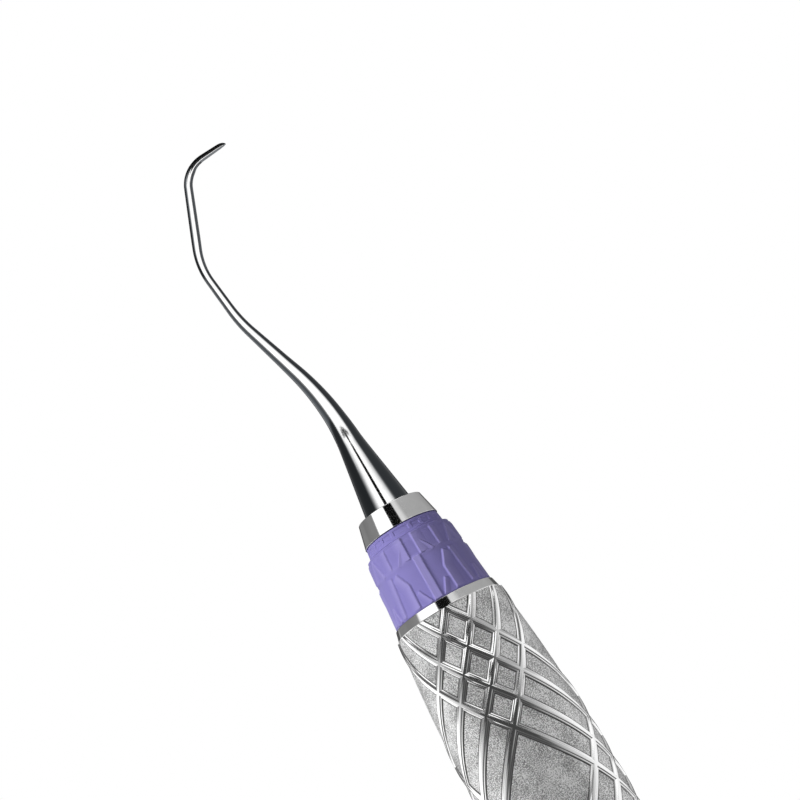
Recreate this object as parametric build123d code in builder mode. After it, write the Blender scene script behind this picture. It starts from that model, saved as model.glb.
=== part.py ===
"""Double-ended hand instrument: a hollow textured steel handle with a soft grip and a bent working tip at each end.

The handle lies along X with its middle at the origin, and both working tips bend in the XY plane. End A is at +X.
End B is its point reflection through the origin, so the two tips are a mirror-image pair, as they are on the real
instrument. All sizes are in millimetres.
"""

import os

from build123d import *

# Handle shell
SHELL_LENGTH = 86.0
SHELL_RADIUS = 5.75
SHELL_END_RADIUS = 4.83
TAPER_LENGTH = 13.5
WALL = 0.6
SEAT_LENGTH = 7.0
SEAT_RADIUS = 3.9

# Lengths along the axis, outward from the shell's end
BAND_LENGTH = 0.85
SLEEVE_LENGTH = 7.06
FERRULE_LENGTH = 2.04

# Polished band between the shell and the sleeve
BAND_BACK_RADIUS = 4.69
BAND_FRONT_RADIUS = 4.48
BAND_BORE_RADIUS = 4.15

# End cone: plug in the shell, shoulder in the band, neck in the sleeve, spigot in the ferrule
PLUG_LENGTH = 6.0
PLUG_LEAD = 0.3
NECK_RADIUS = 2.6
RIB_RADIUS = 2.95
RIB_WIDTH = 0.7
RIB_PITCH = 2.0
SPIGOT_RADIUS = 2.3
SPIGOT_LENGTH = 1.2
GLUE_GROOVE_PLACES = (1.5, 3.5)
GLUE_GROOVE_WIDTH = 0.8
GLUE_GROOVE_DEPTH = 0.2

# Soft sleeve
SLEEVE_BACK_RADIUS = 4.4
SLEEVE_FRONT_RADIUS = 3.95
SLEEVE_NECK_RADIUS = 3.4
SLEEVE_NOSE_RADIUS = 3.27
SLEEVE_NECK_LENGTH = 0.95
SLEEVE_STEP_LENGTH = 0.5

# Nose ferrule
FERRULE_BACK_RADIUS = 3.35
FERRULE_FRONT_RADIUS = 2.88

# Working tip
TANG_RADIUS = 1.3
TANG_LENGTH = 8.2
ROOT_RADIUS = 2.1
ROOT_CLEARANCE = 0.02
BEND_RADII = [24.0, 14.0, 7.0, 2.8]
TOE_RADIUS = 0.25
TOE_ROUNDING = 0.2
FACE_START = 0.9
FACE_START_RADIUS = 0.37
FACE_MIDDLE = 0.955
FACE_DEPTH = 0.13
CUTTER_SIZE = 1.2

EDGE_BREAK = 0.08

# Places along X at end A
SHELL_END = SHELL_LENGTH / 2
BAND_END = SHELL_END + BAND_LENGTH
SLEEVE_END = BAND_END + SLEEVE_LENGTH
FERRULE_END = SLEEVE_END + FERRULE_LENGTH
SPIGOT_END = SLEEVE_END + SPIGOT_LENGTH
PLUG_START = SHELL_END - PLUG_LENGTH
TANG_START = SLEEVE_END - TANG_LENGTH

# Corners of the shank's centreline: distance past the ferrule's face, and distance to the side
SHANK_CORNERS = [(10.85, 0.0), (20.6, 3.02), (26.55, 3.66), (34.95, 0.55)]
TOE = (35.3, -3.54)

# Radius of the round shank at shares of its length: a fast taper at the root, then a slender stem
SHANK_RADII = [
    (0.0, ROOT_RADIUS),
    (0.03, 1.92),
    (0.07, 1.68),
    (0.12, 1.38),
    (0.17, 1.09),
    (0.23, 0.9),
    (0.31, 0.74),
    (0.4, 0.58),
    (0.49, 0.47),
    (0.57, 0.39),
    (0.65, 0.37),
    (0.74, 0.41),
    (0.84, 0.39),
    (0.875, 0.38),
    (FACE_START, FACE_START_RADIUS),
    (0.92, 0.35),
    (0.94, 0.33),
    (0.96, 0.305),
    (0.98, 0.28),
    (1.0, TOE_RADIUS),
]


def ribs_on_neck():
    """Centres, along X, of the ribs that key the sleeve to the neck."""
    middle = (BAND_END + SLEEVE_END) / 2 - SLEEVE_NECK_LENGTH / 2
    return [middle - RIB_PITCH, middle, middle + RIB_PITCH]


def keep(piece, name):
    """Labels one finished piece and writes it as a STEP file."""
    piece.part.label = name
    export_step(piece.part, f"parts/{name}.step")


def at_end_b(piece):
    """The point reflection of a piece through the origin: mirrored end to end, then half a turn about X."""
    with BuildPart() as reflected:
        with Locations(Location((0, 0, 0), (180, 0, 0))):
            add(mirror(piece.part, about=Plane.YZ, mode=Mode.PRIVATE))
    return reflected


def build_shell():
    """The hollow handle: a long cylinder whose ends taper in a large arc, with a seat for each end cone."""
    start = SHELL_END - TAPER_LENGTH
    seat_start = SHELL_END - SEAT_LENGTH
    with BuildPart() as handle_shell:
        with BuildSketch(Plane.XY):
            with BuildLine():
                inner = SHELL_RADIUS - WALL
                Line((0, inner), (0, SHELL_RADIUS))
                Line((0, SHELL_RADIUS), (start, SHELL_RADIUS))
                taper = TangentArc((start, SHELL_RADIUS), (SHELL_END, SHELL_END_RADIUS), tangent=(1, 0))
                Line(taper @ 1, (SHELL_END, SEAT_RADIUS))
                Line((SHELL_END, SEAT_RADIUS), (seat_start, SEAT_RADIUS))
                Line((seat_start, SEAT_RADIUS), (start, inner))
                Line((start, inner), (0, inner))
            make_face()
        revolve(axis=Axis.X)
        mirror(about=Plane.YZ)
    return handle_shell


def build_end_cone():
    """The turned core of one end, with a blind bore for the tip's tang."""
    with BuildPart() as end_cone:
        with BuildSketch(Plane.YZ.offset(PLUG_START)):
            Circle(SEAT_RADIUS)
        extrude(amount=PLUG_LENGTH)
        chamfer(end_cone.faces().sort_by(Axis.X)[0].edges(), PLUG_LEAD)
        with BuildSketch(Plane.YZ.offset(SHELL_END)):
            Circle(BAND_BORE_RADIUS)
        extrude(amount=BAND_LENGTH)
        with BuildSketch(Plane.YZ.offset(BAND_END)):
            Circle(NECK_RADIUS)
        extrude(amount=SLEEVE_LENGTH)
        for rib in ribs_on_neck():
            with BuildSketch(Plane.YZ.offset(rib - RIB_WIDTH / 2)):
                Circle(RIB_RADIUS)
            extrude(amount=RIB_WIDTH)
        with BuildSketch(Plane.YZ.offset(SLEEVE_END)):
            Circle(SPIGOT_RADIUS)
        extrude(amount=SPIGOT_LENGTH)
        for place in GLUE_GROOVE_PLACES:
            with BuildSketch(Plane.YZ.offset(PLUG_START + place)):
                Circle(SEAT_RADIUS)
                Circle(SEAT_RADIUS - GLUE_GROOVE_DEPTH, mode=Mode.SUBTRACT)
            extrude(amount=GLUE_GROOVE_WIDTH, mode=Mode.SUBTRACT)
        with BuildSketch(Plane.YZ.offset(TANG_START - EDGE_BREAK)):
            Circle(TANG_RADIUS)
        extrude(amount=SPIGOT_END - TANG_START + EDGE_BREAK, mode=Mode.SUBTRACT)
    return end_cone


def build_end_band():
    """The polished ring on the cone's shoulder, which holds the sleeve's back edge."""
    with BuildPart() as end_band:
        with BuildSketch(Plane.XY):
            Polygon(
                (SHELL_END, BAND_BORE_RADIUS),
                (SHELL_END, BAND_BACK_RADIUS),
                (BAND_END, BAND_FRONT_RADIUS),
                (BAND_END, BAND_BORE_RADIUS),
                align=None,
            )
        revolve(axis=Axis.X)
        rims = end_band.edges().filter_by(GeomType.CIRCLE).sort_by(SortBy.RADIUS)[-2:]
        fillet(rims, EDGE_BREAK)
    return end_band


def build_grip_sleeve():
    """The moulded soft sleeve: a stepped outer surface, with grooves inside for the neck's ribs."""
    step_back = SLEEVE_END - SLEEVE_NECK_LENGTH - SLEEVE_STEP_LENGTH
    step_front = SLEEVE_END - SLEEVE_NECK_LENGTH
    with BuildPart() as grip_sleeve:
        with BuildSketch(Plane.XY):
            Polygon(
                (BAND_END, NECK_RADIUS),
                (BAND_END, SLEEVE_BACK_RADIUS),
                (step_back, SLEEVE_FRONT_RADIUS),
                (step_front, SLEEVE_NECK_RADIUS),
                (SLEEVE_END, SLEEVE_NOSE_RADIUS),
                (SLEEVE_END, NECK_RADIUS),
                align=None,
            )
        revolve(axis=Axis.X)
        for rib in ribs_on_neck():
            with BuildSketch(Plane.YZ.offset(rib - RIB_WIDTH / 2)):
                Circle(RIB_RADIUS)
            extrude(amount=RIB_WIDTH, mode=Mode.SUBTRACT)
    return grip_sleeve


def build_nose_ferrule():
    """The conical nose ring, pressed on the cone's spigot, which holds the sleeve's front edge."""
    with BuildPart() as nose_ferrule:
        with BuildSketch(Plane.XY):
            Polygon(
                (SLEEVE_END, SPIGOT_RADIUS),
                (SLEEVE_END, FERRULE_BACK_RADIUS),
                (FERRULE_END, FERRULE_FRONT_RADIUS),
                (FERRULE_END, ROOT_RADIUS + ROOT_CLEARANCE),
                (SPIGOT_END, ROOT_RADIUS + ROOT_CLEARANCE),
                (SPIGOT_END, SPIGOT_RADIUS),
                align=None,
            )
        revolve(axis=Axis.X)
        rims = nose_ferrule.edges().filter_by(GeomType.CIRCLE).sort_by(SortBy.RADIUS)[-2:]
        fillet(rims, EDGE_BREAK)
    return nose_ferrule


def shank_line():
    """The shank's centreline: straight runs joined by tangent arcs, from the ferrule's face to the toe."""
    corners = [(FERRULE_END + along, side) for along, side in SHANK_CORNERS]
    toe = (FERRULE_END + TOE[0], TOE[1])
    with BuildLine(mode=Mode.PRIVATE) as centreline:
        FilletPolyline((FERRULE_END, 0), *corners, toe, radius=BEND_RADII)
    return centreline.wires()[0]


def inward(line, share):
    """The direction, at a share of the shank's line, to the inner side of its last bend."""
    along = line % share
    return Vector(along.Y, -along.X, 0)


def beside(line, share, distance):
    """The point at a share of the shank's line, moved by a distance to the inner side of its last bend."""
    return line @ share + inward(line, share) * distance


def build_working_tip():
    """Tang, root, tapered shank and blade in one piece, with a flat face along the blade's inner side."""
    line = shank_line()
    with BuildPart() as working_tip:
        with BuildSketch(Plane.YZ.offset(TANG_START)):
            Circle(TANG_RADIUS)
        extrude(amount=SPIGOT_END - TANG_START)
        with BuildSketch(Plane.YZ.offset(SPIGOT_END)):
            Circle(ROOT_RADIUS)
        extrude(amount=FERRULE_END - SPIGOT_END)
        for share, radius in SHANK_RADII:
            with BuildSketch(Plane(origin=line @ share, x_dir=-inward(line, share), z_dir=line % share)):
                Circle(radius)
        loft()
        fillet(working_tip.faces().sort_by(Axis.Y)[0].edges(), TOE_ROUNDING)
        with BuildSketch(Plane.XY.offset(-CUTTER_SIZE / 2)):
            with BuildLine():
                start = beside(line, FACE_START, FACE_START_RADIUS)
                middle = beside(line, FACE_MIDDLE, FACE_DEPTH)
                end = beside(line, 1, FACE_DEPTH) + (line % 1) * TOE_RADIUS
                face = ThreePointArc(start, middle, end)
                aside = beside(line, FACE_MIDDLE, FACE_DEPTH + CUTTER_SIZE)
                Polyline(face @ 1, aside, face @ 0)
            make_face()
        extrude(amount=CUTTER_SIZE, mode=Mode.SUBTRACT)
    return working_tip


os.makedirs("parts", exist_ok=True)
keep(build_shell(), "handle_shell")
for name, build in (
    ("end_cone", build_end_cone),
    ("end_band", build_end_band),
    ("grip_sleeve", build_grip_sleeve),
    ("nose_ferrule", build_nose_ferrule),
    ("working_tip", build_working_tip),
):
    end_piece = build()
    keep(end_piece, f"{name}_a")
    keep(at_end_b(end_piece), f"{name}_b")
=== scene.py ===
"""Looks of the double-ended hand instrument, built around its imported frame.

Blender works in metres. Sizes inside the classes are in millimetres, as a maker writes them, and MM turns
them into metres. The handle lies along X, Z is up, and both working tips bend in the XY plane. End A is at
+X, and end B is its point reflection through the origin.

Angles around the handle are in degrees from +Z towards -Y.
"""

import logging
import math
from dataclasses import dataclass, field
from enum import Enum
from functools import lru_cache

import bmesh
import bpy
import numpy as np
from mathutils import Matrix, Vector


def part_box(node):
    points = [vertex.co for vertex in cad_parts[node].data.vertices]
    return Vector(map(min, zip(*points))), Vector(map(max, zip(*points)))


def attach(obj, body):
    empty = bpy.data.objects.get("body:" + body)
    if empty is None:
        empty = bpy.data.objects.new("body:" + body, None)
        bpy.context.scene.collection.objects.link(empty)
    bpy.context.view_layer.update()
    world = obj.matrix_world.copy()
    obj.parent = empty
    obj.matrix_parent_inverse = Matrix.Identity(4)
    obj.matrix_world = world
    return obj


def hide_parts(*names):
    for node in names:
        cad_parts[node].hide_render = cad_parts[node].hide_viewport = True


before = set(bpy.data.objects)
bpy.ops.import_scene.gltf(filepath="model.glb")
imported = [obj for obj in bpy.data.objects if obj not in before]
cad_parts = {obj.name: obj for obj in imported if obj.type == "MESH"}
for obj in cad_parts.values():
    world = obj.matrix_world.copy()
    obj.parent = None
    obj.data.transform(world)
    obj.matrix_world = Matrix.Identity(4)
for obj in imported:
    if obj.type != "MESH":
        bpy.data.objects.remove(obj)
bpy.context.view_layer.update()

MM = 0.001
TURN = 360.0
BODY = "root"
LEAST_RISE = 0.01  # The smallest share of a ridge's height that counts as a rise

log = logging.getLogger("instrument")


class End(Enum):
    """The two ends of the instrument, each with the sign that its coordinates take."""

    A = 1
    B = -1

    @property
    def suffix(self) -> str:
        """The last part of the names of this end's nodes."""
        return self.name.lower()


# Shader maths


class Signal:
    """One output socket of a shader node, which can be used in Python arithmetic."""

    def __init__(self, shader: "Shader", socket: bpy.types.NodeSocket) -> None:
        """Wraps a socket.

        Args:
            shader: The shader whose tree the socket belongs to.
            socket: The output socket.
        """
        self.shader = shader
        self.socket = socket

    @property
    def is_vector(self) -> bool:
        """Whether the socket carries a vector."""
        return self.socket.type == "VECTOR"

    def combine(self, operation: str, first: "Operand", second: "Operand") -> "Signal":
        """Joins two operands by a Math node, or by a Vector Math node where one of them is a vector.

        Args:
            operation: The node's operation.
            first: The first operand.
            second: The second operand.

        Returns:
            The result.
        """
        vectors = [item for item in (first, second) if isinstance(item, Signal) and item.is_vector]
        if not vectors:
            return self.shader.node("ShaderNodeMath", {"operation": operation}, {0: first, 1: second})
        factor = second if vectors[0] is first else first
        if operation == "MULTIPLY" and isinstance(factor, (int, float)):
            inputs = {0: vectors[0], "Scale": factor}
            return self.shader.node("ShaderNodeVectorMath", {"operation": "SCALE"}, inputs)
        return self.shader.node("ShaderNodeVectorMath", {"operation": operation}, {0: first, 1: second})

    def __add__(self, other: "Signal | float") -> "Signal":
        """self + other"""
        return self.combine("ADD", self, other)

    def __radd__(self, other: float) -> "Signal":
        """other + self"""
        return self.combine("ADD", other, self)

    def __rsub__(self, other: float) -> "Signal":
        """other - self"""
        return self.combine("SUBTRACT", other, self)

    def __mul__(self, other: "Operand") -> "Signal":
        """self * other"""
        return self.combine("MULTIPLY", self, other)

    def __rmul__(self, other: float) -> "Signal":
        """other * self"""
        return self.combine("MULTIPLY", other, self)

    def ramp(self, start: float, end: float) -> "Signal":
        """Rises from 0 to 1, smoothly, as the value goes from start to end.

        Args:
            start: The value that gives 0.
            end: The value that gives 1.

        Returns:
            The share, held between 0 and 1.
        """
        settings = {"interpolation_type": "SMOOTHSTEP"}
        inputs = {"Value": self, "From Min": start, "From Max": end}
        return self.shader.node("ShaderNodeMapRange", settings, inputs)


Operand = Signal | float | tuple[float, ...]


class Shader:
    """A node tree that is written as Python expressions."""

    def __init__(self, tree: bpy.types.NodeTree) -> None:
        """Starts from an empty tree.

        Args:
            tree: The node tree of a material or a world.
        """
        self.tree = tree
        self.tree.nodes.clear()

    def node(
        self, kind: str, settings: dict | None = None, inputs: dict | None = None, output: int | str = 0
    ) -> Signal | None:
        """Adds one node.

        Args:
            kind: The node's type.
            settings: The node's own settings, such as an operation, and "stops" for a colour ramp.
            inputs: A number, colour or Signal for each named or numbered socket.
            output: The output socket to give back.

        Returns:
            The chosen output, or None from a node that has none.
        """
        node = self.tree.nodes.new(kind)
        for name, value in (settings or {}).items():
            if name == "stops":
                self.set_stops(node, value)
            else:
                setattr(node, name, value)
        for name, value in (inputs or {}).items():
            if isinstance(value, Signal):
                self.tree.links.new(value.socket, node.inputs[name])
            else:
                node.inputs[name].default_value = value
        return Signal(self, node.outputs[output]) if node.outputs else None

    @staticmethod
    def set_stops(node: bpy.types.Node, stops: list[tuple[float, tuple[float, ...]]]) -> None:
        """Gives a colour ramp its stops.

        Args:
            node: The colour ramp node.
            stops: Place and colour of each stop, in order.
        """
        elements = node.color_ramp.elements
        while len(elements) < len(stops):
            elements.new(1.0)
        for element, (place, colour) in zip(elements, stops):
            element.position = place
            element.color = colour

    def position(self) -> Signal:
        """The point on the surface, in millimetres in the frame."""
        return self.node("ShaderNodeTexCoord", output="Object") * (1 / MM)

    def attribute(self, name: str) -> Signal:
        """A value that the mesh carries at its points."""
        return self.node("ShaderNodeAttribute", {"attribute_name": name}, output="Fac")

    def noise(self, where: Signal, scale: float, detail: float = 2.0, roughness: float = 0.5) -> Signal:
        """Noise with a mean of about a half.

        Args:
            where: The point, in millimetres.
            scale: Features per millimetre.
            detail: The number of finer layers.
            roughness: The strength of each finer layer.

        Returns:
            The noise, from 0 to 1.
        """
        inputs = {"Vector": where, "Scale": scale, "Detail": detail, "Roughness": roughness}
        return self.node("ShaderNodeTexNoise", inputs=inputs)

    def mix(self, share: Signal, first: Operand, second: Operand) -> Signal:
        """A colour between two.

        Args:
            share: 0 for the first colour, 1 for the second.
            first: A linear colour, or a Signal that carries one.
            second: The same for the other colour.

        Returns:
            The colour.
        """
        low, high = (colour if isinstance(colour, Signal) else (*colour, 1.0) for colour in (first, second))
        return self.node("ShaderNodeMix", {"data_type": "RGBA"}, {"Factor": share, 6: low, 7: high}, output=2)

    def split(self, vector: Signal) -> tuple[Signal, ...]:
        """The X, Y and Z parts of a vector."""
        parts = self.node("ShaderNodeSeparateXYZ", inputs={0: vector}).socket.node
        return tuple(Signal(self, output) for output in parts.outputs)

    def marks(self, where: Signal, along: float, across: float, detail: float) -> Signal:
        """Noise drawn out around the handle's axis, like the marks of turning.

        Args:
            where: The point, in millimetres.
            along: Features per millimetre along the axis.
            across: Features per millimetre across it.
            detail: The number of finer layers.

        Returns:
            The noise, from 0 to 1.
        """
        return self.noise(where * (along, across, across), 1.0, detail=detail)

    def bump(self, height: Signal, depth: float, under: Signal | None = None) -> Signal:
        """A normal bent by a height.

        Args:
            height: The height, from 0 to 1.
            depth: The relief's full depth, in millimetres.
            under: A normal that this relief lies on.

        Returns:
            The normal.
        """
        inputs = {"Height": height, "Distance": depth * MM}
        if under is not None:
            inputs["Normal"] = under
        return self.node("ShaderNodeBump", inputs=inputs)


class Finish:
    """A surface finish, which makes its Blender material once."""

    name: str = "finish"
    slot: str = ""

    def surface(self, shader: Shader) -> dict[str, Operand]:
        """The sockets of the Principled shader that this finish sets."""
        raise NotImplementedError

    @lru_cache(maxsize=None)
    def material(self) -> bpy.types.Material:
        """The finished Blender material."""
        material = bpy.data.materials.new(self.name)
        material.use_nodes = True
        shader = Shader(material.node_tree)
        surface = shader.node("ShaderNodeBsdfPrincipled", inputs=self.surface(shader))
        shader.node("ShaderNodeOutputMaterial", inputs={"Surface": surface})
        return material


def grey(value: float, blue: float = 0.0) -> tuple[float, float, float]:
    """A near-neutral linear colour, cooled a little by blue."""
    return (value * (1 - blue), value, value * (1 + blue))


@dataclass(frozen=True)
class RidgedSteel(Finish):
    """The handle's steel: a blasted satin floor, polished ridges, and a painted shade line along the base of
    each ridge.
    """

    name: str = "handle_satin_and_ridges"
    slot: str = "handle_steel"
    floor: float = 0.93
    floor_dark: float = 0.26
    floor_metallic: float = 0.62
    ridge: float = 0.84
    # Painted shade: the dark tone of the line along each ridge's base, where the crease would lie in shadow.
    foot_shade: float = 0.07
    speckle_span: tuple[float, float] = (0.41, 0.58)
    floor_roughness: float = 0.42
    ridge_roughness: float = 0.13
    grain_scale: float = 12.0
    grain_depth: float = 0.02

    def surface(self, shader: Shader) -> dict[str, Operand]:
        """The Principled sockets, from the mesh's ridge and foot values."""
        where = shader.position()
        on_ridge = shader.attribute("ridge").ramp(0.0, 0.08)
        # Painted shade mask: 1 in the crease along each ridge's base.
        in_foot_shade = shader.attribute("foot_shade").ramp(0.35, 0.9)
        grain = shader.noise(where, self.grain_scale, detail=2.0, roughness=0.6)
        mottle = shader.noise(where, 0.5, detail=3.0)
        speckle = (0.75 * grain + 0.25 * mottle).ramp(*self.speckle_span)
        satin = shader.mix(speckle, grey(self.floor_dark), grey(self.floor))
        steel = shader.mix(on_ridge, satin, grey(self.ridge))
        off_ridge = 1 - on_ridge
        return {
            "Base Color": shader.mix(in_foot_shade, steel, grey(self.foot_shade)),
            "Metallic": self.floor_metallic + (1 - self.floor_metallic) * on_ridge,
            "Roughness": (self.floor_roughness + 0.1 * mottle) * off_ridge + self.ridge_roughness * on_ridge,
            "Normal": shader.bump(grain * off_ridge, self.grain_depth),
        }


@dataclass(frozen=True)
class PolishedSteel(Finish):
    """Mirror-polished turned steel with faint turning marks and wiped spots."""

    name: str = "polished_rings"
    slot: str = "polished_steel"
    tone: float = 0.78
    roughness: float = 0.05
    mark_depth: float = 0.0003

    def surface(self, shader: Shader) -> dict[str, Operand]:
        """The Principled sockets."""
        where = shader.position()
        marks = shader.marks(where, 14.0, 0.4, detail=3.0)
        cloud = shader.noise(where, 0.9, detail=3.0)
        return {
            "Base Color": shader.mix(cloud.ramp(0.3, 0.7), grey(self.tone * 0.94), grey(self.tone)),
            "Metallic": 1.0,
            "Roughness": self.roughness + 0.05 * cloud,
            "Normal": shader.bump(marks, self.mark_depth),
        }


@dataclass(frozen=True)
class TipSteel(Finish):
    """Hand-polished tip steel with fine grinding marks, with painted reflection in its colour: the sides are
    painted dark and bluish as they turn away from the viewer, and the rims are painted lighter.

    A span is a share turned away from the viewer, from where a tone starts to where it is full.
    """

    name: str = "tip_polished"
    slot: str = "tip_steel"
    tone: float = 0.78
    # Painted reflection: a dark, bluish tone on the sides that turn from the view and a lighter one at the
    # rims stand in for what the steel would mirror.
    painted_dark_side_tone: float = 0.065
    painted_dark_side_span: tuple[float, float] = (0.06, 0.2)
    painted_rim_tone: float = 0.3
    painted_rim_span: tuple[float, float] = (0.5, 1.0)
    cool: float = 0.1
    roughness: float = 0.06
    mark_depth: float = 0.0012

    def surface(self, shader: Shader) -> dict[str, Operand]:
        """The Principled sockets."""
        where = shader.position()
        fine = shader.noise(where, 5.0, detail=4.0, roughness=0.6)
        cloud = shader.noise(where, 0.6, detail=2.0)
        tone = (0.5 * fine + 0.5 * cloud).ramp(0.35, 0.65)
        # Painted reflection: the base colour goes dark and bluish where the surface turns away from the view,
        # and lighter at the rims.
        painted_reflection_mask = shader.node("ShaderNodeLayerWeight", inputs={"Blend": 0.5}, output="Facing")
        middle = shader.mix(tone, grey(self.tone * 0.88), grey(self.tone))
        side, rim = grey(self.painted_dark_side_tone, self.cool), grey(self.painted_rim_tone, self.cool)
        edge = shader.mix(painted_reflection_mask.ramp(*self.painted_rim_span), side, rim)
        return {
            "Base Color": shader.mix(painted_reflection_mask.ramp(*self.painted_dark_side_span), middle, edge),
            "Metallic": 1.0,
            "Roughness": self.roughness + 0.06 * fine,
            "Normal": shader.bump(fine, self.mark_depth),
        }


@dataclass(frozen=True)
class TurnedSteel(Finish):
    """Plain turned steel, as it leaves the lathe."""

    name: str = "core_as_turned"
    slot: str = "core_steel"
    tone: float = 0.5
    roughness: float = 0.28
    mark_depth: float = 0.004

    def surface(self, shader: Shader) -> dict[str, Operand]:
        """The Principled sockets."""
        where = shader.position()
        marks = shader.marks(where, 9.0, 0.3, detail=2.0)
        return {
            "Base Color": shader.mix(marks, grey(self.tone * 0.8), grey(self.tone)),
            "Metallic": 1.0,
            "Roughness": self.roughness + 0.15 * marks,
            "Normal": shader.bump(marks, self.mark_depth),
        }


@dataclass(frozen=True)
class Silicone(Finish):
    """Matt moulded silicone, a little lighter where the relief is worn."""

    name: str = "grip_silicone"
    slot: str = "grip_silicone"
    colour: tuple[float, float, float] = (0.24, 0.212, 0.51)
    worn: tuple[float, float, float] = (0.315, 0.28, 0.6)
    roughness: float = 0.42
    specular: float = 0.15
    pore_depth: float = 0.004

    def surface(self, shader: Shader) -> dict[str, Operand]:
        """The Principled sockets."""
        where = shader.position()
        pores = shader.noise(where, 9.0, detail=2.0)
        cloud = shader.noise(where, 0.7, detail=3.0)
        raised = shader.attribute("relief")
        return {
            "Base Color": shader.mix((0.5 * cloud + 0.5 * raised).ramp(0.2, 0.9), self.colour, self.worn),
            "Roughness": self.roughness + 0.12 * cloud,
            "Specular IOR Level": self.specular,
            "Normal": shader.bump(pores, self.pore_depth),
        }


# Mesh work


def add_piece(name: str, node: str, mesh: bpy.types.Mesh, finish: Finish, crease: float) -> None:
    """Turns a mesh into an object that rides on the body in place of its CAD node, and reports it.

    Args:
        name: The object's name.
        node: The CAD node that it stands for.
        mesh: The mesh, in metres in the frame.
        finish: The surface finish.
        crease: The angle, in degrees, above which an edge stays sharp.
    """
    mesh.polygons.foreach_set("use_smooth", [True] * len(mesh.polygons))
    mesh.set_sharp_from_angle(angle=math.radians(crease))
    mesh.materials.append(finish.material())
    mesh.update()
    piece = bpy.data.objects.new(name, mesh)
    bpy.context.scene.collection.objects.link(piece)
    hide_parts(node)
    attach(piece, BODY)
    log.info("%s stands for %s with %d faces", piece.name, node, len(mesh.polygons))


def add_at_both_ends(
    name: str,
    node: str,
    points: np.ndarray,
    faces: list[tuple[int, ...]],
    finish: Finish,
    crease: float = 25.0,
    values: dict[str, np.ndarray] | None = None,
) -> None:
    """Adds one piece at end A, and its reflection through the origin at end B.

    Args:
        name: The objects' name, before the end's letter.
        node: The CAD nodes' name, before the end's letter.
        points: Points in millimetres, one row each, as they are at end A.
        faces: Point numbers of each face.
        finish: The surface finish.
        crease: The angle, in degrees, above which an edge stays sharp.
        values: Values that the mesh carries at its points.
    """
    for end in End:
        mesh = bpy.data.meshes.new(f"{name}_{end.suffix}")
        mesh.from_pydata((points * MM * end.value).tolist(), [], faces)
        for label, numbers in (values or {}).items():
            layer = mesh.attributes.new(label, "FLOAT", "POINT")
            layer.data.foreach_set("value", np.asarray(numbers, dtype=np.float32))
        if end is End.B:
            mesh.flip_normals()
        add_piece(mesh.name, f"{node}_{end.suffix}", mesh, finish, crease)


def ring_faces(rings: int, around: int, closed: bool) -> list[tuple[int, ...]]:
    """The faces of a skin drawn over rings of equal numbers of points.

    Args:
        rings: The number of rings.
        around: The number of points in each ring.
        closed: Whether the last ring joins the first; if not, each end gets a cap.

    Returns:
        The faces, pointing outwards where the rings run along +X and turn from +Z to -Y.
    """
    faces = []
    for ring in range(rings if closed else rings - 1):
        here, there = ring * around, (ring + 1) % rings * around
        for step in range(around):
            after = (step + 1) % around
            faces.append((here + step, there + step, there + after, here + after))
    if not closed:
        faces.append(tuple(range(around)))
        faces.append(tuple(range(rings * around - 1, (rings - 1) * around - 1, -1)))
    return faces


def turned_points(profile: list[tuple[float, float]], around: int) -> np.ndarray:
    """Points of a profile turned about the handle's axis.

    Args:
        profile: Place along the axis and radius of each point, in millimetres.
        around: The number of points in each ring.

    Returns:
        The points, ring by ring.
    """
    angles = np.radians(np.arange(around) * TURN / around)
    side, up = -np.sin(angles), np.cos(angles)
    rings = [np.stack([np.full(around, x), r * side, r * up], axis=1) for x, r in profile]
    return np.concatenate(rings)


def rounded(
    corners: list[tuple[float, float, float]], steps: int = 5, support: float = 0.03
) -> list[tuple[float, float]]:
    """A closed outline with its corners rounded.

    Args:
        corners: The outline's corners, each with its rounding radius, in millimetres.
        steps: The number of runs that a rounding is made of.
        support: The distance from a rounding to an extra point, which keeps the straight side's shading flat.

    Returns:
        The outline's points.
    """
    outline = []
    count = len(corners)
    for number, (x, r, radius) in enumerate(corners):
        here = Vector((x, r))
        if not radius:
            outline.append((x, r))
            continue
        back = (Vector(corners[number - 1][:2]) - here).normalized()
        ahead = (Vector(corners[(number + 1) % count][:2]) - here).normalized()
        reach = radius / math.tan(back.angle(ahead) / 2)
        first, last = here + back * reach, here + ahead * reach
        outline.append(tuple(first + back * support))
        for step in range(steps + 1):
            share = step / steps
            point = first * (1 - share) ** 2 + here * 2 * share * (1 - share) + last * share**2
            outline.append((point.x, point.y))
        outline.append(tuple(last + ahead * support))
    return outline


# The instrument


def node_span(node: str) -> tuple[float, float]:
    """Where a node starts and ends along the handle, in millimetres."""
    low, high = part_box(node)
    return low.x / MM, high.x / MM


@dataclass
class Layout:
    """The places along the handle that the pieces share, in millimetres, read from the frame at end A."""

    shell_end: float = field(default_factory=lambda: node_span("handle_shell")[1])
    band_end: float = field(default_factory=lambda: node_span("end_band_a")[1])
    sleeve_end: float = field(default_factory=lambda: node_span("grip_sleeve_a")[1])
    ferrule_end: float = field(default_factory=lambda: node_span("nose_ferrule_a")[1])
    spigot_end: float = field(default_factory=lambda: node_span("end_cone_a")[1])
    tang_start: float = field(default_factory=lambda: node_span("working_tip_a")[0])
    shell_radius: float = field(default_factory=lambda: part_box("handle_shell")[1].z / MM)


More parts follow.
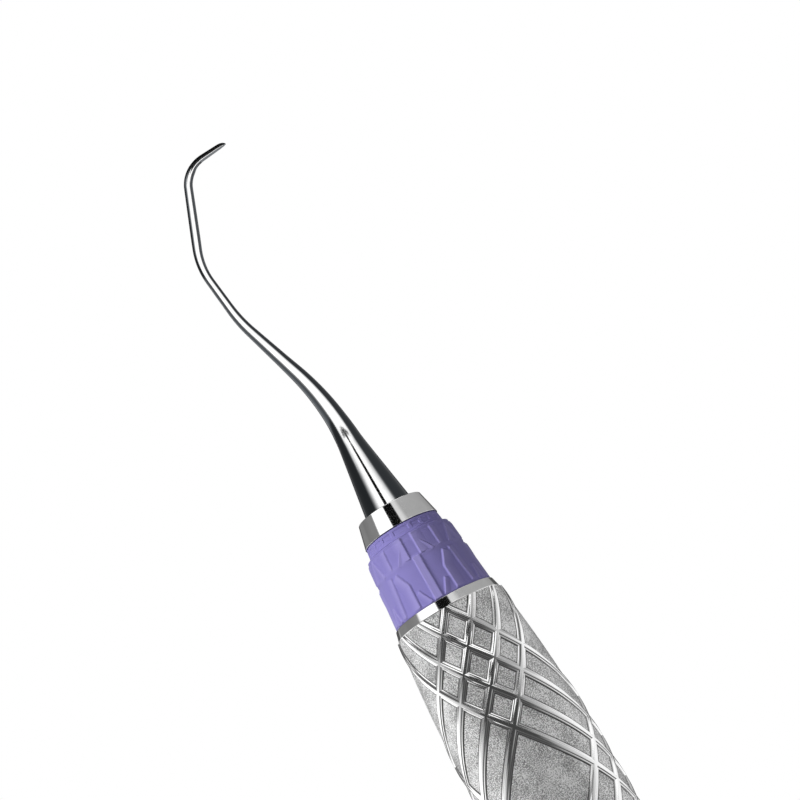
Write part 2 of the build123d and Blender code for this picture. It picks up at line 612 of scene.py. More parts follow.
@dataclass
class HandleShell:
    """The hollow handle: two families of raised helical ridges, crossing in lattices, on a satin floor.

    A point's two family angles are its angle around the handle minus and plus the twist. A ridge of one
    family keeps one family angle, so the mesh is a grid of family angles whose lines run along the ridges'
    edges.
    """

    layout: Layout
    finish: RidgedSteel = RidgedSteel()
    end_radius: float = 4.83
    taper_length: float = 13.5
    seat_radius: float = 3.9
    seat_length: float = 7.0
    wall: float = 0.6
    ridge_height: float = 0.16
    twist: float = 15.0 / 1.792
    lattice_from_end: float = 5.38
    ridge_places: tuple[float, ...] = (-45.0, -15.0, 15.0, 45.0)
    half_foot_strip: float = 6.4
    # Where the painted shade along a ridge's base fades out on the ridge's side.
    foot_shade_fade: float = 4.6
    ridge_section: tuple[tuple[float, float], ...] = (
        (1.0, 1.0), (2.0, 0.92), (2.9, 0.5), (4.0, 0.42), (5.4, 0.0),
    )
    floor_step: float = 5.0
    overrun: float = 1.5
    crease: float = 9.0

    def crest_radius(self, x: np.ndarray) -> np.ndarray:
        """The radius over the crests at places along the handle: a cylinder with a large arc at each end."""
        drop = self.layout.shell_radius - self.end_radius
        arc = (self.taper_length**2 + drop**2) / (2 * drop)
        past = np.clip(np.abs(x) - (self.layout.shell_end - self.taper_length), 0, arc)
        return self.layout.shell_radius - arc + np.sqrt(arc**2 - past**2)

    def family_lines(self) -> np.ndarray:
        """The grid's family angles over one turn, from each ridge's edges and even steps between ridges."""
        half = (self.half_foot_strip, *(distance for distance, _ in reversed(self.ridge_section)))
        edges = [*(-value for value in half), *reversed(half)]
        lines: list[float] = []
        places = [place + group for group in (0.0, TURN / 2) for place in self.ridge_places]
        for place, next_place in zip(places, places[1:] + [places[0] + TURN]):
            lines.extend(place + edge for edge in edges)
            start, stop = place + self.half_foot_strip, next_place - self.half_foot_strip
            steps = round((stop - start) / self.floor_step)
            lines.extend(start + (stop - start) * step / steps for step in range(1, steps))
        return np.array(lines)

    def from_ridge(self, family_angle: np.ndarray) -> np.ndarray:
        """The distance, in family degrees, to the nearest ridge's middle."""
        distance = np.full(family_angle.shape, TURN)
        for place in self.ridge_places:
            apart = (family_angle - place + TURN / 4) % (TURN / 2) - TURN / 4
            distance = np.minimum(distance, np.abs(apart))
        return distance

    def ridge_share(self, family_angle: np.ndarray) -> np.ndarray:
        """The ridge's height as a share of its full height."""
        distances, shares = zip(*self.ridge_section)
        return np.interp(self.from_ridge(family_angle), distances, shares)

    def foot_shade_share(self, family_angle: np.ndarray) -> np.ndarray:
        """The share of painted shade: 1 along a ridge's base, falling to 0 on either side."""
        steps = (self.foot_shade_fade, self.ridge_section[-1][0], self.half_foot_strip)
        return np.interp(self.from_ridge(family_angle), steps, (0.0, 1.0, 0.0))

    def outer_skin(self) -> bmesh.types.BMesh:
        """The outer surface, a little longer than the handle, with its ridge values and its share of painted
        shade along each ridge's base.
        """
        first = self.family_lines()
        count = len(first)
        half_twist = self.twist * (self.layout.shell_end + self.overrun)
        turns = math.ceil(half_twist / TURN * 2) + 1
        second = np.concatenate([first + TURN * turn for turn in range(-turns, turns + 2)])
        p, q = np.meshgrid(first, second, indexing="ij")
        x = (q - p) / (2 * self.twist) + self.layout.shell_end - self.lattice_from_end
        angle = np.radians((p + q) / 2)
        p_share, q_share = self.ridge_share(p), self.ridge_share(q)
        share = np.maximum(p_share, q_share)
        # Painted shade along each ridge's base, left out where the other family's ridge rises.
        foot_shade_p = self.foot_shade_share(p) * (q_share < LEAST_RISE)
        foot_shade_q = self.foot_shade_share(q) * (p_share < LEAST_RISE)
        foot_shade = np.maximum(foot_shade_p, foot_shade_q)
        inside = np.abs(x) < self.layout.shell_end + self.overrun
        radius = self.crest_radius(x) - self.ridge_height * (1 - share)

        skin = bmesh.new()
        ridge_layer = skin.verts.layers.float.new("ridge")
        foot_shade_layer = skin.verts.layers.float.new("foot_shade")
        vertices: dict[tuple[int, int], bmesh.types.BMVert] = {}
        for i, j in zip(*np.nonzero(inside)):
            r, a = radius[i, j], angle[i, j]
            vertex = skin.verts.new((x[i, j] * MM, -r * math.sin(a) * MM, r * math.cos(a) * MM))
            vertex[ridge_layer] = share[i, j]
            vertex[foot_shade_layer] = foot_shade[i, j]
            vertices[int(i), int(j)] = vertex
        for i in range(count):
            for j in range(len(second) - 1):
                keys = ((i, j), (i + 1, j), (i + 1, j + 1), (i, j + 1))
                keys = tuple((0, b - count) if a == count else (a, b) for a, b in keys)
                if not all(key in vertices for key in keys):
                    continue
                corners = [vertices[key] for key in keys]
                heights = [corner[ridge_layer] for corner in corners]
                if self.is_mitre(heights):
                    low = heights.index(min(heights))
                    a, b, c, d = (corners[(low + k) % 4] for k in range(4))
                    skin.faces.new((a, b, c))
                    skin.faces.new((a, c, d))
                else:
                    skin.faces.new(corners)
        return skin

    @staticmethod
    def is_mitre(heights: list[float]) -> bool:
        """Whether one corner of a face is lower than the other three, as where two ridges' sides meet."""
        low, second = sorted(heights)[:2]
        return second - low > LEAST_RISE

    def build(self) -> None:
        """Builds the ridged outside, cuts its ends square, and adds the end faces and the bore."""
        skin = self.outer_skin()
        for side in (1, -1):
            everything = skin.verts[:] + skin.edges[:] + skin.faces[:]
            place = (side * self.layout.shell_end * MM, 0, 0)
            bmesh.ops.bisect_plane(
                skin, geom=everything, plane_co=place, plane_no=(side, 0, 0), clear_outer=True
            )
        open_edges = [edge for edge in skin.edges if edge.is_boundary]
        rims = [[edge for edge in open_edges if edge.verts[0].co.x * side > 0] for side in (1, -1)]
        bore_radius = self.layout.shell_radius - self.wall
        seat_start = self.layout.shell_end - self.seat_length
        bore_start = self.layout.shell_end - self.taper_length
        inner_rims = []
        for side, rim in zip((1, -1), rims):
            for x, r in (
                (self.layout.shell_end, self.seat_radius),
                (seat_start, self.seat_radius),
                (bore_start, bore_radius),
            ):
                rim = self.step_inward(skin, rim, side * x * MM, r * MM)
            inner_rims.extend(rim)
        bmesh.ops.bridge_loops(skin, edges=inner_rims)
        bmesh.ops.recalc_face_normals(skin, faces=skin.faces[:])
        mesh = bpy.data.meshes.new("handle")
        skin.to_mesh(mesh)
        skin.free()
        add_piece("handle", "handle_shell", mesh, self.finish, self.crease)

    @staticmethod
    def step_inward(
        skin: bmesh.types.BMesh, rim: list[bmesh.types.BMEdge], x: float, radius: float
    ) -> list[bmesh.types.BMEdge]:
        """Extends an open rim by one band of faces.

        Args:
            skin: The mesh.
            rim: The rim's edges.
            x: Where the new rim lies along the handle, in metres.
            radius: The new rim's radius, in metres.

        Returns:
            The new rim's edges.
        """
        made = bmesh.ops.extrude_edge_only(skin, edges=rim)["geom"]
        for item in made:
            if isinstance(item, bmesh.types.BMVert):
                scale = radius / math.hypot(item.co.y, item.co.z)
                item.co = Vector((x, item.co.y * scale, item.co.z * scale))
        return [item for item in made if isinstance(item, bmesh.types.BMEdge) and item.is_boundary]


@dataclass
class TurnedRing:
    """A closed ring turned about the handle's axis, made for both ends."""

    name: str
    node: str
    corners: list[tuple[float, float, float]]
    finish: Finish
    around: int = 256

    def build(self) -> None:
        """Turns the rounded section at each end."""
        profile = rounded(self.corners)
        faces = ring_faces(len(profile), self.around, closed=True)
        add_at_both_ends(self.name, self.node, turned_points(profile, self.around), faces, self.finish)


def end_band(layout: Layout) -> TurnedRing:
    """The polished ring between the handle and the sleeve."""
    corners = [
        (layout.shell_end, 4.15, 0.0),
        (layout.shell_end, 4.69, 0.05),
        (layout.band_end, 4.48, 0.06),
        (layout.band_end, 4.15, 0.0),
    ]
    return TurnedRing("band", "end_band", corners, PolishedSteel())


def nose_ferrule(layout: Layout) -> TurnedRing:
    """The polished conical ring in front of the sleeve."""
    corners = [
        (layout.sleeve_end, 2.3, 0.0),
        (layout.sleeve_end, 3.35, 0.02),
        (layout.ferrule_end, 2.88, 0.08),
        (layout.ferrule_end, 2.12, 0.03),
        (layout.spigot_end, 2.12, 0.0),
        (layout.spigot_end, 2.3, 0.0),
    ]
    return TurnedRing("ferrule", "nose_ferrule", corners, PolishedSteel())


@dataclass(frozen=True)
class Edge:
    """One raised edge of the sleeve's relief, steep on one side and fading away on the other.

    A place on the sleeve is its angle from the relief unit's middle, in degrees, and its share of the
    tier's length from the tier's front.
    """

    start: tuple[float, float]
    end: tuple[float, float]
    height: float = 0.16
    steep_outwards: bool = False
    wall: float = 0.14
    fade: float = 1.0

    def raise_at(self, along: np.ndarray, side: np.ndarray, radius: float, length: float) -> np.ndarray:
        """The height that this edge adds.

        Args:
            along: Each point's distance from the tier's front, in millimetres.
            side: Each point's distance around from the unit's middle, in millimetres.
            radius: The tier's mean radius.
            length: The tier's length.

        Returns:
            The height at each point, in millimetres.
        """
        start = np.array([math.radians(self.start[0]) * radius, self.start[1] * length])
        finish = np.array([math.radians(self.end[0]) * radius, self.end[1] * length])
        run = finish - start
        reach = float(np.hypot(*run))
        run /= reach
        travelled = (side - start[0]) * run[0] + (along - start[1]) * run[1]
        across = (side - start[0]) * run[1] - (along - start[1]) * run[0]
        if self.steep_outwards:
            across = -across
        rise = smooth((across + self.wall / 2) / self.wall)
        fall = 1 - np.clip(across / self.fade, 0, 1)
        ends = smooth(travelled / self.wall + 0.5) * smooth((reach - travelled) / self.wall + 0.5)
        return self.height * rise * fall * ends


def smooth(value: np.ndarray) -> np.ndarray:
    """A smooth step from 0 to 1."""
    held = np.clip(value, 0, 1)
    return held * held * (3 - 2 * held)


@dataclass
class GripSleeve:
    """The moulded silicone sleeve: a ribbed neck, a step, and two tiers of shard-like raised edges.

    A point of the shoulder is its distance behind the step, in step lengths, and its rise over the front
    radius.
    """

    layout: Layout
    finish: Silicone = Silicone()
    around: int = 540
    spacing: float = 0.05
    back_radius: float = 4.4
    front_radius: float = 3.95
    neck_radius: float = 3.4
    nose_radius: float = 3.27
    neck_length: float = 0.95
    step_length: float = 0.5
    front_tier_length: float = 2.14
    tier_rise: float = 0.09
    shoulder: tuple[tuple[float, float], ...] = ((1.2, -0.05), (0.3, -0.19))
    lip: float = 0.1
    nose_drop: float = 0.12
    neck_foot_shade: float = 0.08
    fillet: float = 0.02
    bore_radius: float = 2.6
    rib_radius: float = 2.95
    rib_width: float = 0.7
    rib_pitch: float = 2.0
    relief_depth: float = 0.12
    ring_height: float = 0.045
    ring_half_width: float = 0.2
    unit: float = 120.0
    pocket_depth: float = 0.07
    pocket_ribs: tuple[float, ...] = (-14.0, 14.0, 32.0, 50.0, 70.0, 88.0, 106.0)
    half_rib: float = 2.2
    pocket_wall: float = 1.0
    pocket_gaps: tuple[float, float] = (0.22, 0.25)
    pocket_run_out: float = 0.08
    front_edges: tuple[Edge, ...] = (
        Edge((6.5, -0.05), (6.5, 1.0)),
        Edge((9.0, 0.12), (25.0, 1.0), height=0.12, steep_outwards=True, fade=0.45),
        Edge((33.0, 0.04), (33.0, 0.97), height=0.12, fade=0.7),
        Edge((59.0, 0.05), (46.5, 1.0), height=0.12, fade=0.7),
    )
    back_edges: tuple[Edge, ...] = (
        Edge((4.7, -0.02), (4.7, 0.98), steep_outwards=True, fade=3.0),
        Edge((31.5, 0.1), (22.0, 0.43)),
        Edge((22.0, 0.43), (22.3, 0.96)),
        Edge((15.7, 0.64), (7.0, 0.96), fade=0.5),
        Edge((40.0, 0.1), (44.0, 0.96), height=0.14, fade=0.8),
        Edge((58.0, 0.6), (53.0, 0.96), fade=0.5),
    )

    def base_profile(self) -> list[tuple[float, float]]:
        """Corners of the outer surface before its relief, from the back to the front."""
        front = self.layout.sleeve_end
        step_front = front - self.neck_length
        back = self.layout.band_end
        shoulder = [
            (step_front - steps * self.step_length, self.front_radius + rise) for steps, rise in self.shoulder
        ]
        return [
            (back, self.back_radius - self.lip),
            (back + self.lip, self.back_radius),
            (step_front - self.front_tier_length, self.front_radius + self.tier_rise),
            *shoulder,
            (step_front, self.neck_radius + self.fillet),
            (step_front + self.neck_foot_shade, self.neck_radius),
            (front - self.lip, self.nose_radius + self.fillet),
            (front, self.nose_radius - self.nose_drop),
        ]

    def bore_profile(self) -> list[tuple[float, float]]:
        """Corners of the bore from the front to the back, with a groove for each rib of the neck inside."""
        front, back = self.layout.sleeve_end, self.layout.band_end
        middle = (front + back) / 2 - self.neck_length / 2
        bore, groove = self.bore_radius, self.rib_radius
        corners = [(front, bore)]
        for number in (1, 0, -1):
            rib = middle + number * self.rib_pitch
            for x, r in ((0.5, bore), (0.5, groove), (-0.5, groove), (-0.5, bore)):
                corners.append((rib + x * self.rib_width, r))
        corners.append((back, bore))
        return corners

    def relief(self, x: np.ndarray, angle: np.ndarray) -> np.ndarray:
        """The height of the relief.

        Args:
            x: Places along the handle, in millimetres.
            angle: Angles around the handle, in degrees.

        Returns:
            The height at each point, in millimetres.
        """
        folded = np.abs((angle + self.unit / 2) % self.unit - self.unit / 2)
        step = self.layout.sleeve_end - self.neck_length
        middle = step - self.front_tier_length
        front = step - self.step_length / 2
        tiers = (
            (self.front_edges, front, front - middle, self.front_radius),
            (self.back_edges, middle, middle - self.layout.band_end, self.back_radius),
        )
        height = np.zeros(np.broadcast(x, angle).shape)
        for edges, start, length, radius in tiers:
            side = np.radians(folded) * radius
            for edge in edges:
                height = np.maximum(height, edge.raise_at(start - x, side, radius, length))
        ring = self.ring_height * np.exp(-(((x - middle) / self.ring_half_width) ** 2))
        return np.maximum(height, ring) - self.pockets(x, angle)

    def pockets(self, x: np.ndarray, angle: np.ndarray) -> np.ndarray:
        """The depth of the shallow pockets around the neck, between short ribs.

        Args:
            x: Places along the handle, in millimetres.
            angle: Angles around the handle, in degrees.

        Returns:
            The depth at each point, in millimetres.
        """
        turned = (angle + self.unit / 4) % self.unit - self.unit / 4
        from_rib = np.full(turned.shape, TURN)
        for rib in self.pocket_ribs:
            from_rib = np.minimum(from_rib, np.abs((turned - rib + TURN / 2) % TURN - TURN / 2))
        between = smooth((from_rib - self.half_rib) / self.pocket_wall)
        front = self.layout.sleeve_end
        rear = front - self.neck_length
        rear_gap, front_gap = self.pocket_gaps
        rear_end = smooth((x - rear - rear_gap) / self.pocket_run_out)
        front_end = smooth((front - front_gap - x) / self.pocket_run_out)
        return self.pocket_depth * between * (rear_end * front_end)

    def build(self) -> None:
        """Builds the sleeve at each end as one closed skin: outside, front, bore and back."""
        base_x, base_r = np.array(self.base_profile()).T
        steps = math.ceil((base_x[-1] - base_x[0]) / self.spacing)
        x = np.unique(np.concatenate([np.linspace(base_x[0], base_x[-1], steps), base_x]))
        radius = np.interp(x, base_x, base_r)
        angle = np.arange(self.around) * TURN / self.around
        height = self.relief(x[:, None], angle[None, :])
        neck = self.layout.sleeve_end - self.neck_length
        sunk = self.relief_depth * smooth((neck - x) / self.step_length)[:, None]
        outer = radius[:, None] - sunk + height
        turn = np.radians(angle)
        side, up = -outer * np.sin(turn), outer * np.cos(turn)
        skin = np.stack([np.broadcast_to(x[:, None], outer.shape), side, up], axis=2)
        bore = turned_points(self.bore_profile(), self.around)
        points = np.concatenate([skin.reshape(-1, 3), bore])
        values = {"relief": np.concatenate([height.ravel() / self.relief_depth, np.zeros(len(bore))])}
        faces = ring_faces(len(points) // self.around, self.around, closed=True)
        add_at_both_ends("sleeve", "grip_sleeve", points, faces, self.finish, crease=60.0, values=values)


@dataclass
class BentLine:
    """A line in the XY plane of straight runs joined by tangent arcs, in millimetres."""

    corners: list[tuple[float, float]]
    radii: list[float]
    arc_steps: int = 40

    def points(self) -> np.ndarray:
        """The line's points, close together on the arcs."""
        line = [Vector(self.corners[0])]
        bends = zip(self.corners, self.corners[1:], self.corners[2:], self.radii)
        for before, corner, after, radius in bends:
            here = Vector(corner)
            back, ahead = (Vector(before) - here).normalized(), (Vector(after) - here).normalized()
            half = back.angle(ahead) / 2
            centre = here + (back + ahead).normalized() * (radius / math.sin(half))
            first = here + back * (radius / math.tan(half))
            last = here + ahead * (radius / math.tan(half))
            sweep = (first - centre).angle_signed(last - centre)
            for step in range(self.arc_steps + 1):
                spoke = (first - centre).copy()
                spoke.rotate(Matrix.Rotation(-sweep * step / self.arc_steps, 2))
                line.append(centre + spoke)
        line.append(Vector(self.corners[-1]))
        return np.array(line)

    def sample(self, shares: np.ndarray) -> tuple[np.ndarray, np.ndarray]:
        """Points and directions at shares of the line's length.

        Args:
            shares: Shares from 0 to 1.

        Returns:
            The points, and the unit directions there.
        """
        points = self.points()
        runs = np.hypot(*np.diff(points, axis=0).T)
        lengths = np.concatenate([[0], np.cumsum(runs)])

        def at(share: np.ndarray) -> np.ndarray:
            """The points at shares of the length."""
            where = share * lengths[-1]
            return np.stack([np.interp(where, lengths, points[:, axis]) for axis in (0, 1)], axis=1)

        near = 0.002
        ahead = at(np.clip(shares + near, 0, 1)) - at(np.clip(shares - near, 0, 1))
        return at(shares), ahead / np.hypot(*ahead.T)[:, None]


@dataclass
class WorkingTip:
    """Tang, tapered shank with its bends, and the blade: round-backed, with a flat face on the inner side.

    Corners and toe are measured from the ferrule's front. Each radius, the face and the toe's rounding have
    their places as shares of the line's length.
    """

    layout: Layout
    finish: TipSteel = TipSteel()
    around: int = 72
    rings: int = 420
    tang_radius: float = 1.3
    root_radius: float = 2.1
    corners: tuple[tuple[float, float], ...] = (
        (0.0, 0.0), (10.85, 0.0), (20.6, 3.02), (26.55, 3.66), (34.95, 0.55),
    )
    toe: tuple[float, float] = (35.3, -3.54)
    bend_radii: tuple[float, ...] = (24.0, 14.0, 7.0, 2.8)
    radii: tuple[tuple[float, float], ...] = (
        (0.0, 2.1), (0.03, 1.92), (0.07, 1.68), (0.12, 1.38), (0.17, 1.09), (0.23, 0.9), (0.31, 0.74),
        (0.4, 0.58), (0.49, 0.47), (0.57, 0.39), (0.65, 0.37), (0.74, 0.41), (0.84, 0.39), (0.9, 0.37),
        (0.94, 0.33), (1.0, 0.25),
    )
    face_half_angle: float = 60.0
    face_start: float = 0.895
    face_full: float = 0.935
    toe_start: float = 0.982

    def radius_at(self, shares: np.ndarray) -> np.ndarray:
        """The shank's radius, as a smooth curve through the stated radii."""
        places, radii = np.array(self.radii).T
        even = np.linspace(0, 1, 401)
        reach = 8
        kernel = np.hanning(2 * reach + 1)
        plain = np.interp(even, places, radii)
        before = 2 * plain[0] - plain[reach:0:-1]
        after = 2 * plain[-1] - plain[-2 : -reach - 2 : -1]
        padded = np.concatenate([before, plain, after])
        return np.interp(shares, even, np.convolve(padded, kernel / kernel.sum(), mode="valid"))

    def ring_angles(self) -> np.ndarray:
        """Angles around a ring from the inner side, with a point on each edge of the face."""
        on_face = np.linspace(-self.face_half_angle, self.face_half_angle, self.around // 3 + 1)
        on_back = np.linspace(self.face_half_angle, TURN - self.face_half_angle, 2 * self.around // 3 + 1)
        return np.radians(np.concatenate([on_face[:-1], on_back[:-1]]))

    def build(self) -> None:
        """Draws rings along the line, flattens the blade's face, closes the toe, and adds root and tang."""
        line = BentLine(
            [(self.layout.ferrule_end + x, y) for x, y in (*self.corners, self.toe)], list(self.bend_radii)
        )
        toe_turn = np.linspace(0, math.pi / 2, 15)[1:-1]
        toe_shares = self.toe_start + (1 - self.toe_start) * np.sin(toe_turn)
        shares = np.concatenate([np.linspace(0, self.toe_start, self.rings), toe_shares])
        shrink = np.concatenate([np.ones(self.rings), np.cos(toe_turn)])
        centres, along = line.sample(shares)
        radius = self.radius_at(shares)
        flat = smooth((shares - self.face_start) / (self.face_full - self.face_start))
        angles = self.ring_angles()
        depth = math.cos(math.radians(self.face_half_angle))
        inner = radius[:, None] * np.cos(angles)
        up = radius[:, None] * np.sin(angles)
        on_face = np.cos(angles) > depth - 1e-6
        level = radius[:, None] * depth
        inner = np.where(on_face, inner + (level - inner) * flat[:, None], inner)
        inner = level + (inner - level) * shrink[:, None]
        up = up * shrink[:, None]
        side = np.stack([along[:, 1], -along[:, 0]], axis=1)
        x = centres[:, :1] + side[:, :1] * inner
        y = centres[:, 1:] + side[:, 1:] * inner
        shank = np.stack([x, y, up], axis=2).reshape(-1, 3)
        root = []
        for place, r in (
            (self.layout.tang_start, self.tang_radius),
            (self.layout.spigot_end, self.tang_radius),
            (self.layout.spigot_end, self.root_radius),
        ):
            across = (-r * np.cos(angles), r * np.sin(angles))
            root.append(np.stack([np.full(len(angles), place), *across], axis=1))
        points = np.concatenate([*root, shank])
        faces = ring_faces(len(points) // len(angles), len(angles), closed=False)
        add_at_both_ends("tip", "working_tip", points, faces, self.finish, crease=35.0)


# The studio


@dataclass(frozen=True)
class LightZone:
    """A part of the studio, from one place along the handle's direction to the next zone.

    Each band is an angle around the handle, in degrees, and the brightness there.
    """

    start: float
    bands: tuple[tuple[float, float], ...]

    def colours(self, shader: Shader, share: Signal, top: float) -> Signal:
        """The zone's brightness around the handle, as a grey.

        Args:
            shader: The world's shader.
            share: The angle around the handle, from 0 to 1.
            top: The brightness that white stands for.

        Returns:
            The colour.
        """
        stops = [(place / TURN + 0.5, (*grey(value / top), 1.0)) for place, value in self.bands]
        return shader.node("ShaderNodeValToRGB", {"stops": stops}, {"Fac": share})


@dataclass(frozen=True)
class SoftSun:
    """A far, soft lamp that shades matt surfaces and shows in no reflection."""

    name: str
    towards: tuple[float, float, float]
    strength: float
    spread: float

    def build(self) -> None:
        """Places the lamp."""
        data = bpy.data.lights.new(self.name, "SUN")
        data.energy = self.strength
        data.angle = math.radians(self.spread)
        lamp = bpy.data.objects.new(self.name, data)
        lamp.rotation_euler = Vector(self.towards).to_track_quat("Z", "Y").to_euler()
        lamp.visible_glossy = False
        bpy.context.scene.collection.objects.link(lamp)


@dataclass
class Studio:
    """The camera, the pale floor, and a room of soft boxes and dark flags around the instrument."""

    layout: Layout
    camera_place: tuple[float, float, float] = (19.32, 0.0, 160.65)
    camera_ahead: tuple[float, float, float] = (0.2487, -0.0321, -0.9681)
    camera_up: tuple[float, float, float] = (0.8353, -0.4988, 0.2311)
    lens: float = 90.0
    sensor: float = 36.0
    floor_size: float = 1200.0
    card_reach: tuple[float, float] = (65.7, 92.0)
    card_side: float = 13.0
    card_height: float = 12.0
    card_light: float = 1.6
    flag_reach: tuple[float, float] = (87.2, 92.0)
    flag_side: tuple[float, float] = (-7.0, -0.1)
    flag_height: float = 2.0
    flag_light: float = 0.02
    pale: float = 1.0
    zone_blend: float = 0.02
    zones: tuple[LightZone, ...] = (
        LightZone(
            -1.0,
            (
                (-180.0, 1.2), (-105.0, 1.3), (-92.0, 0.25), (-80.0, 0.12), (50.0, 0.12), (70.0, 0.35),
                (88.0, 0.4), (98.0, 1.3), (180.0, 1.2),
            ),
        ),
        LightZone(
            -0.33,
            (
                (-180.0, 0.03), (-166.0, 0.03), (-150.0, 1.3), (-90.0, 1.3), (-60.0, 0.6), (-36.0, 0.08),
                (22.0, 0.08), (38.0, 0.45), (72.0, 1.0), (150.0, 1.0), (166.0, 0.03), (180.0, 0.03),
            ),
        ),
        LightZone(
            -0.1,
            (
                (-180.0, 0.1), (-146.0, 0.1), (-136.0, 1.5), (-100.0, 1.5), (-75.0, 1.0), (-55.0, 0.6),
                (-36.0, 0.06), (26.0, 0.06), (40.0, 0.35), (60.0, 0.65), (100.0, 1.15), (134.0, 1.0),
                (144.0, 0.1), (180.0, 0.1),
            ),
        ),
        LightZone(
            0.3,
            (
                (-180.0, 0.25), (-60.0, 0.3), (-36.0, 0.06), (26.0, 0.06), (40.0, 0.35), (60.0, 0.5),
                (120.0, 0.45), (150.0, 0.35), (180.0, 0.25),
            ),
        ),
        LightZone(
            0.42,
            (
                (-180.0, 0.15), (-60.0, 0.3), (-34.0, 1.5), (-8.5, 1.7), (-7.0, 0.004), (7.0, 0.004),
                (8.5, 1.7), (46.0, 1.5), (55.0, 0.5), (120.0, 0.45), (150.0, 0.35), (180.0, 0.25),
            ),
        ),
        LightZone(
            0.53,
            (
                (-180.0, 0.18), (-68.0, 0.26), (-65.0, 1.6), (-16.5, 1.6), (-15.0, 0.004), (15.5, 0.004),
                (17.5, 0.9), (28.0, 0.85), (40.0, 0.48), (120.0, 0.48), (150.0, 0.38), (180.0, 0.25),
            ),
        ),
        LightZone(
            0.67,
            (
                (-180.0, 0.1), (-88.0, 0.1), (-80.0, 1.5), (-32.0, 1.5), (-24.0, 0.4), (4.0, 0.4),
                (12.0, 1.3), (80.0, 1.3), (88.0, 0.1), (180.0, 0.1),
            ),
        ),
        LightZone(0.82, ((-180.0, 0.1), (0.0, 0.06), (180.0, 0.1))),
    )
    suns: tuple[SoftSun, ...] = (
        SoftSun("key", (0.4, 0.8, 0.5), 3.0, 30.0),
        SoftSun("front", (0.1, 0.0, 1.0), 0.9, 90.0),
        SoftSun("fill", (-0.1, -1.0, 0.4), 0.55, 90.0),
        SoftSun("under", (0.0, 0.3, -1.0), 0.4, 120.0),
    )

    def set_camera(self) -> None:
        """Places the camera."""
        data = bpy.data.cameras.new("camera")
        data.lens = self.lens
        data.sensor_width = self.sensor
        data.clip_start = 1 * MM
        camera = bpy.data.objects.new("camera", data)
        bpy.context.scene.collection.objects.link(camera)
        ahead = Vector(self.camera_ahead).normalized()
        up = (Vector(self.camera_up) - ahead * ahead.dot(Vector(self.camera_up))).normalized()
        right = ahead.cross(up)
        turn = Matrix((right, up, -ahead)).transposed().to_4x4()
        camera.matrix_world = Matrix.Translation(Vector(self.camera_place) * MM) @ turn
        bpy.context.scene.camera = camera

    def set_light(self) -> None:
        """Lights the room with bands of light and dark around the handle's axis."""
        world = bpy.data.worlds.new("studio")
        bpy.context.scene.world = world
        world.use_nodes = True
        world.cycles_visibility.diffuse = False
        shader = Shader(world.node_tree)
        along, side, height = shader.split(shader.node("ShaderNodeTexCoord", output="Generated"))
        angle = shader.node("ShaderNodeMath", {"operation": "ARCTAN2"}, {0: side * -1, 1: height})
        share = angle * (1 / (2 * math.pi)) + 0.5
        top = max(value for zone in self.zones for _, value in zone.bands)
        room = self.zones[0].colours(shader, share, top)
        for zone in self.zones[1:]:
            edge = along.ramp(zone.start - self.zone_blend, zone.start + self.zone_blend)
            room = shader.mix(edge, room, zone.colours(shader, share, top))
        lit = shader.node("ShaderNodeBackground", inputs={"Color": room, "Strength": top})
        pale = shader.node("ShaderNodeBackground", inputs={"Color": (*grey(self.pale), 1.0), "Strength": 1.0})
        seen = shader.node("ShaderNodeLightPath", output="Is Camera Ray")
        backdrop = shader.node("ShaderNodeMixShader", inputs={0: seen, 1: lit, 2: pale})
        shader.node("ShaderNodeOutputWorld", inputs={"Surface": backdrop})

    @staticmethod
    def card(
        name: str, low: tuple[float, float], high: tuple[float, float], height: float, light: float
    ) -> bpy.types.Object:
        """A level card that gives off even light and throws no shadow.

        Args:
            name: The card's name.
            low: Its lowest x and y, in millimetres.
            high: Its highest x and y.
            height: Its z.
            light: Its brightness.

        Returns:
            The card.
        """
        mesh = bpy.data.meshes.new(name)
        corners = [(low[0], low[1]), (high[0], low[1]), (high[0], high[1]), (low[0], high[1])]
        mesh.from_pydata([Vector((x, y, height)) * MM for x, y in corners], [], [(0, 1, 2, 3)])
        material = bpy.data.materials.new(name)
        material.use_nodes = True
        shader = Shader(material.node_tree)
        glow = shader.node("ShaderNodeEmission", inputs={"Color": (*grey(1.0), 1.0), "Strength": light})
        shader.node("ShaderNodeOutputMaterial", inputs={"Surface": glow})
        mesh.materials.append(material)
        card = bpy.data.objects.new(name, mesh)
        bpy.context.scene.collection.objects.link(card)
        card.visible_diffuse = False
        card.visible_shadow = False
        return card

    def set_cards(self) -> None:
        """Lays the pale floor, and hangs a white card over each tip and a dark flag over each blade."""
        half = self.floor_size / 2
        floor = self.card("floor", (-half, -half), (half, half), -self.layout.shell_radius, self.pale)
        floor.visible_glossy = False
        sides = (-self.card_side, self.card_side)
        for end in End:
            self.hang(end, "tip_card", self.card_reach, sides, self.card_height, self.card_light)
            self.hang(end, "blade_flag", self.flag_reach, self.flag_side, self.flag_height, self.flag_light)

    def hang(
        self,
        end: End,
        name: str,
        reach: tuple[float, float],
        sides: tuple[float, float],
        height: float,
        light: float,
    ) -> None:
        """Hangs a card over one end, out of the camera's sight.

        Args:
            end: The end; at end B the card is turned half a turn about Z.
            name: The card's name, before the end's letter.
            reach: Where it starts and stops along the handle, in millimetres, as at end A.
            sides: Its lowest and highest y there.
            height: Its z.
            light: Its brightness.
        """
        low, high = zip(*(sorted(end.value * edge for edge in span) for span in (reach, sides)))
        self.card(f"{name}_{end.suffix}", low, high, height, light).visible_camera = False

    def build(self) -> None:
        """Sets camera, light, floor and colour handling."""
        self.set_camera()
        self.set_light()
        self.set_cards()
        for sun in self.suns:
            sun.build()
        bpy.context.scene.view_settings.view_transform = "Standard"
        log.info("studio set")


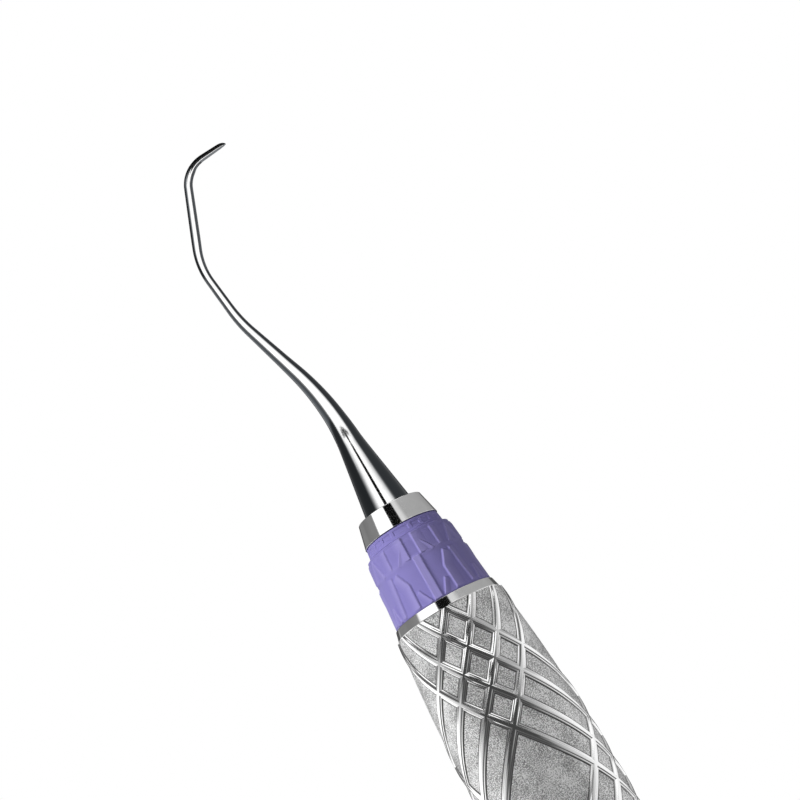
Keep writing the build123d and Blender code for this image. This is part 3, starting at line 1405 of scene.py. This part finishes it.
def dress_cores() -> None:
    """Gives the hidden end cones, which keep their CAD meshes, their finish."""
    finish = TurnedSteel()
    for end in End:
        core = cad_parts[f"end_cone_{end.suffix}"]
        core.data.materials.clear()
        core.data.materials.append(finish.material())
        log.info("%s keeps its mesh, dressed as turned steel", core.name)


def main() -> None:
    """Builds the instrument and its studio."""
    logging.basicConfig(level=logging.INFO, format="%(name)s: %(message)s")
    layout = Layout()
    Studio(layout).build()
    HandleShell(layout).build()
    end_band(layout).build()
    GripSleeve(layout).build()
    nose_ferrule(layout).build()
    WorkingTip(layout).build()
    dress_cores()


if __name__ == "__main__":
    main()
